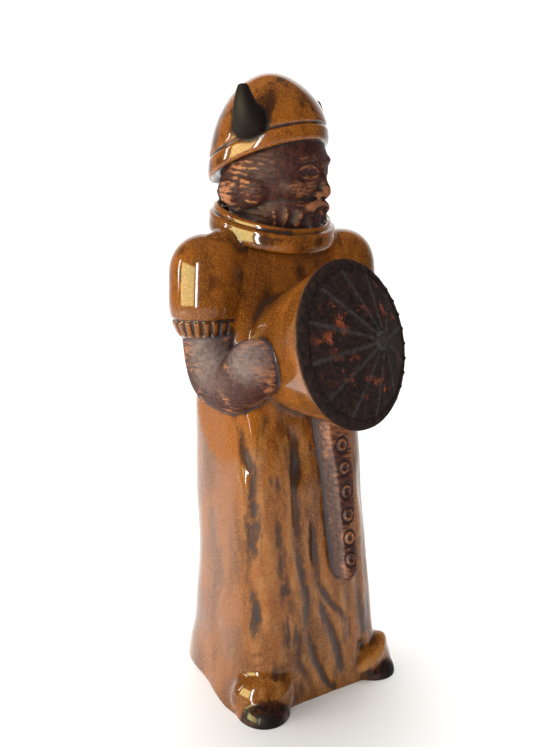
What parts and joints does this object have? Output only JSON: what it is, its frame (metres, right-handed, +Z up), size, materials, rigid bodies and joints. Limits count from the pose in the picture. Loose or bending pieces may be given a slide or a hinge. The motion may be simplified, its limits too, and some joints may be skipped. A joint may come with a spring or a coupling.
{
  "type": "viking warrior figurine",
  "caption": "Standing ceramic figurine of a bearded viking in a long robe, with a horned helmet, a round shield held at the chest and a studded scabbard.",
  "frame": {"origin": "near the middle of the flat underside, on the surface the figure stands on", "axes": "+Z up through the figure; it faces -Y; its right arm is towards -X and its left towards +X"},
  "size_m": [0.1055, 0.1044, 0.2727],
  "materials": {
    "glazed_stoneware": "glossy amber-brown glaze, with matt bare clay on the face, hair, forearms and scabbard and black on the horns, shield and toes"
  },
  "bodies": {
    "root": {"viking_statue": "glazed_stoneware"}
  },
  "joints": []
}
